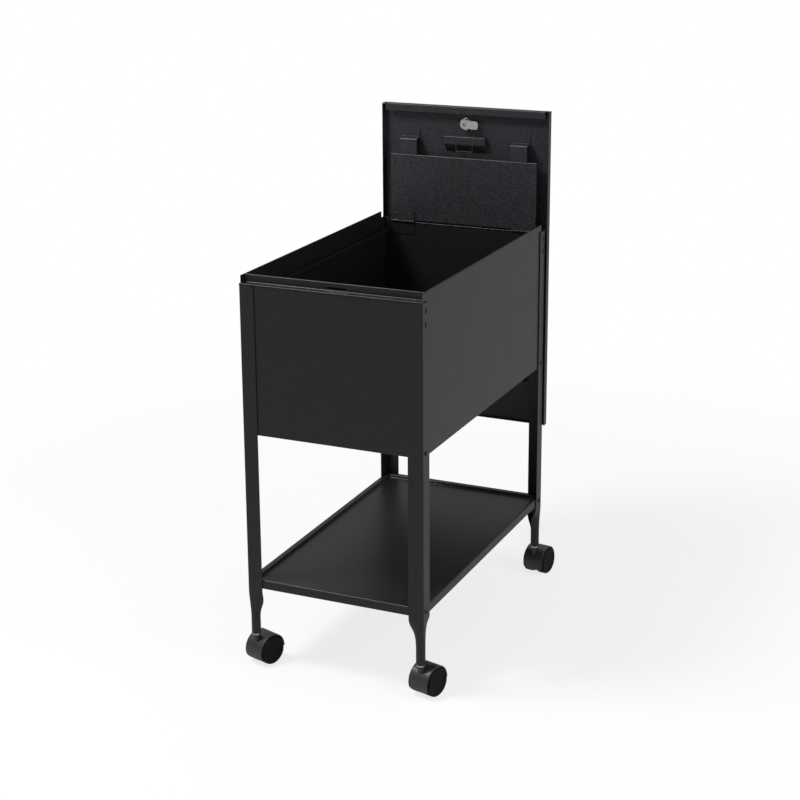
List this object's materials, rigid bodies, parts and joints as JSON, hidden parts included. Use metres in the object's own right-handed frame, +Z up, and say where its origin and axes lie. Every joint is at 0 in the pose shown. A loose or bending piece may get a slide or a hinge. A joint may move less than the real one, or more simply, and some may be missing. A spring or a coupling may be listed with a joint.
{
  "type": "mobile file cabinet",
  "caption": "Rolling sheet-metal folder tub on angle legs with a lower shelf, hooded twin-wheel casters and a hinged lid that slides down behind the tub and locks.",
  "frame": {"origin": "middle of the footprint's box, on the floor", "axes": "+Z up, +Y from the front towards the lid at the back, +X to the right as seen from the front"},
  "size_m": [0.3828, 0.6516, 0.945],
  "materials": {
    "black_coat": "satin black powder coat",
    "lid_coat": "finely textured black powder coat",
    "zinc_steel": "zinc plated",
    "chrome": "bright plated",
    "black_plastic": "moulded",
    "wheel_plastic": "moulded, slightly worn"
  },
  "bodies": {
    "frame": {"leg_front_left": "black_coat", "leg_front_right": "black_coat", "leg_rear_left": "black_coat", "leg_rear_right": "black_coat", "tub_front": "black_coat", "tub_left": "black_coat", "tub_right": "black_coat", "tub_back": "black_coat", "tub_floor": "black_coat", "folder_rail_left": "black_coat", "folder_rail_right": "black_coat", "lower_shelf": "black_coat", "hinge_fixed_leaf_left": "black_coat", "hinge_fixed_leaf_right": "black_coat", "hinge_pin_left": "zinc_steel", "hinge_pin_right": "zinc_steel", "screw_tub_front_left": "black_coat", "screw_tub_front_right": "black_coat", "screw_tub_rear_left": "black_coat", "screw_tub_rear_right": "black_coat", "screw_shelf_front_left": "black_coat", "screw_shelf_front_right": "black_coat", "screw_shelf_rear_left": "black_coat", "screw_shelf_rear_right": "black_coat", "front_left_stem": "zinc_steel", "front_right_stem": "zinc_steel", "rear_left_stem": "zinc_steel", "rear_right_stem": "zinc_steel"},
    "lid_carrier": {"carrier_panel": "black_coat", "hinge_moving_leaf_left": "black_coat", "hinge_moving_leaf_right": "black_coat", "slide_shoe_left": "black_plastic", "slide_shoe_right": "black_plastic"},
    "lid": {"lid_pan": "lid_coat", "lid_guide_left": "lid_coat", "lid_guide_right": "lid_coat", "stop_bracket_left": "lid_coat", "stop_bracket_right": "lid_coat", "lid_pull": "lid_coat", "lock_barrel": "chrome", "lock_nut": "chrome"},
    "lock": {"lock_plug": "chrome", "lock_cam": "chrome", "lock_cam_nut": "zinc_steel"},
    "front_left_caster": {"front_left_hood": "black_plastic", "front_left_axle": "zinc_steel"},
    "front_left_wheel_left": {"front_left_wheel_left": "wheel_plastic"},
    "front_left_wheel_right": {"front_left_wheel_right": "wheel_plastic"},
    "front_right_caster": {"front_right_hood": "black_plastic", "front_right_axle": "zinc_steel"},
    "front_right_wheel_left": {"front_right_wheel_left": "wheel_plastic"},
    "front_right_wheel_right": {"front_right_wheel_right": "wheel_plastic"},
    "rear_left_caster": {"rear_left_hood": "black_plastic", "rear_left_axle": "zinc_steel"},
    "rear_left_wheel_left": {"rear_left_wheel_left": "wheel_plastic"},
    "rear_left_wheel_right": {"rear_left_wheel_right": "wheel_plastic"},
    "rear_right_caster": {"rear_right_hood": "black_plastic", "rear_right_axle": "zinc_steel"},
    "rear_right_wheel_left": {"rear_right_wheel_left": "wheel_plastic"},
    "rear_right_wheel_right": {"rear_right_wheel_right": "wheel_plastic"}
  },
  "joints": [
    {"name": "lid_hinge", "type": "hinge", "parent": "frame", "child": "lid_carrier", "pos_m": [-0.00518, 0.27582, 0.7115], "axis": [1, 0, 0], "range_deg": [0, 90]},
    {"name": "lid_slide", "type": "slide", "parent": "lid_carrier", "child": "lid", "axis": [0, 0, 1], "range_m": [0, 0.3625]},
    {"name": "lock_turn", "type": "hinge", "parent": "lid", "child": "lock", "pos_m": [-0.00518, 0.27582, 0.911], "axis": [0, -1, 0], "range_deg": [0, 90]},
    {"name": "front_left_swivel", "type": "hinge", "parent": "frame", "child": "front_left_caster", "pos_m": [-0.16768, -0.30968, 0.059], "axis": [0, 0, 1], "continuous": true},
    {"name": "front_left_roll_left", "type": "hinge", "parent": "front_left_caster", "child": "front_left_wheel_left", "pos_m": [-0.16117, -0.29077, 0.0265], "axis": [0.9455, -0.3256, 0], "continuous": true},
    {"name": "front_left_roll_right", "type": "hinge", "parent": "front_left_caster", "child": "front_left_wheel_right", "pos_m": [-0.16117, -0.29077, 0.0265], "axis": [0.9455, -0.3256, 0], "continuous": true},
    {"name": "front_right_swivel", "type": "hinge", "parent": "frame", "child": "front_right_caster", "pos_m": [0.15732, -0.30968, 0.059], "axis": [0, 0, 1], "continuous": true},
    {"name": "front_right_roll_left", "type": "hinge", "parent": "front_right_caster", "child": "front_right_wheel_left", "pos_m": [0.1625, -0.29036, 0.0265], "axis": [0.9659, -0.2588, 0], "continuous": true},
    {"name": "front_right_roll_right", "type": "hinge", "parent": "front_right_caster", "child": "front_right_wheel_right", "pos_m": [0.1625, -0.29036, 0.0265], "axis": [0.9659, -0.2588, 0], "continuous": true},
    {"name": "rear_left_swivel", "type": "hinge", "parent": "frame", "child": "rear_left_caster", "pos_m": [-0.16768, 0.27232, 0.059], "axis": [0, 0, 1], "continuous": true},
    {"name": "rear_left_roll_left", "type": "hinge", "parent": "rear_left_caster", "child": "rear_left_wheel_left", "pos_m": [-0.16284, 0.29173, 0.0265], "axis": [0.9703, -0.2419, 0], "continuous": true},
    {"name": "rear_left_roll_right", "type": "hinge", "parent": "rear_left_caster", "child": "rear_left_wheel_right", "pos_m": [-0.16284, 0.29173, 0.0265], "axis": [0.9703, -0.2419, 0], "continuous": true},
    {"name": "rear_right_swivel", "type": "hinge", "parent": "frame", "child": "rear_right_caster", "pos_m": [0.15732, 0.27232, 0.059], "axis": [0, 0, 1], "continuous": true},
    {"name": "rear_right_roll_left", "type": "hinge", "parent": "rear_right_caster", "child": "rear_right_wheel_left", "pos_m": [0.1601, 0.29213, 0.0265], "axis": [0.9903, -0.1392, 0], "continuous": true},
    {"name": "rear_right_roll_right", "type": "hinge", "parent": "rear_right_caster", "child": "rear_right_wheel_right", "pos_m": [0.1601, 0.29213, 0.0265], "axis": [0.9903, -0.1392, 0], "continuous": true}
  ]
}
